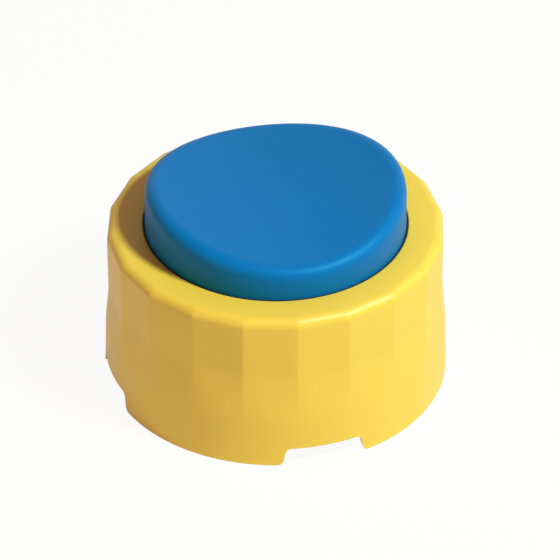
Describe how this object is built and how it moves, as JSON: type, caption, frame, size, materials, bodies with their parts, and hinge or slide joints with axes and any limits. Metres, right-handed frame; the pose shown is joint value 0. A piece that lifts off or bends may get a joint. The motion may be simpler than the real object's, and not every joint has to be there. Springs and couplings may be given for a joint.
{
  "type": "pedestrian push button",
  "caption": "Round yellow faceted housing with a large dished blue push cap, sprung on a stem above a snap switch; notched rim and threaded inserts at the back.",
  "frame": {"origin": "centre of the mounting face, at the foot of the housing", "axes": "+Z out of the push cap, away from the mounting face; the cap's trough runs along Y; rim notches on the X and Y axes"},
  "size_m": [0.0996, 0.0996, 0.0634],
  "materials": {
    "yellow_plastic": "satin moulded polycarbonate, through-coloured yellow",
    "blue_plastic": "satin moulded polycarbonate, through-coloured blue",
    "dark_plastic": "dark grey glass-filled nylon, fine texture",
    "grey_plastic": "light grey nylon",
    "white_plastic": "natural acetal and nylon",
    "black_plastic": "black phenolic moulding",
    "red_plastic": "red acetal",
    "black_rubber": "black elastomer",
    "steel": "zinc-plated steel",
    "spring_steel": "bright spring steel",
    "brass": "turned brass",
    "brown_wire": "brown insulated wire",
    "blue_wire": "blue insulated wire"
  },
  "bodies": {
    "housing": {"housing_shell": "yellow_plastic", "back_cover": "dark_plastic", "cover_gasket": "black_rubber", "cover_screws": "steel", "mounting_inserts": "brass", "cable_grommet": "black_rubber", "breather_vent": "grey_plastic", "wiper_seal": "black_rubber", "stem_bush": "white_plastic", "return_spring": "spring_steel", "spring_washer": "steel", "switch_bracket": "steel", "bracket_screws": "steel", "switch_case": "black_plastic", "switch_terminals": "brass", "lever_pin": "steel", "switch_screws": "steel", "switch_nuts": "steel", "terminal_block": "white_plastic", "terminal_clamps": "brass", "clamp_screws": "steel", "block_screws": "steel", "common_lead": "brown_wire", "switched_lead": "blue_wire"},
    "cap": {"push_cap": "blue_plastic", "cap_carrier": "dark_plastic", "carrier_screws": "steel", "stop_ring": "black_rubber", "stem": "steel", "stem_screw": "steel"},
    "lever": {"switch_lever": "spring_steel"},
    "plunger": {"switch_plunger": "red_plastic"}
  },
  "joints": [
    {"name": "cap_press", "type": "slide", "parent": "housing", "child": "cap", "axis": [0, 0, -1], "range_m": [0, 0.003], "stiffness_N_per_m": 1200, "springref_m": -0.004, "deforming": ["return_spring"]},
    {"name": "lever_hinge", "type": "hinge", "parent": "housing", "child": "lever", "pos_m": [0.02, -0.0075, 0.0285], "axis": [-1, 0, 0], "range_deg": [0, 11.3]},
    {"name": "plunger_slide", "type": "slide", "parent": "housing", "child": "plunger", "axis": [0, 0, -1], "range_m": [0, 0.0007]}
  ],
  "couplings": [
    {"joint": "lever_hinge", "follows": "cap_press", "rad_per_m": 65.625},
    {"joint": "plunger_slide", "follows": "cap_press", "ratio": 0.22621}
  ]
}
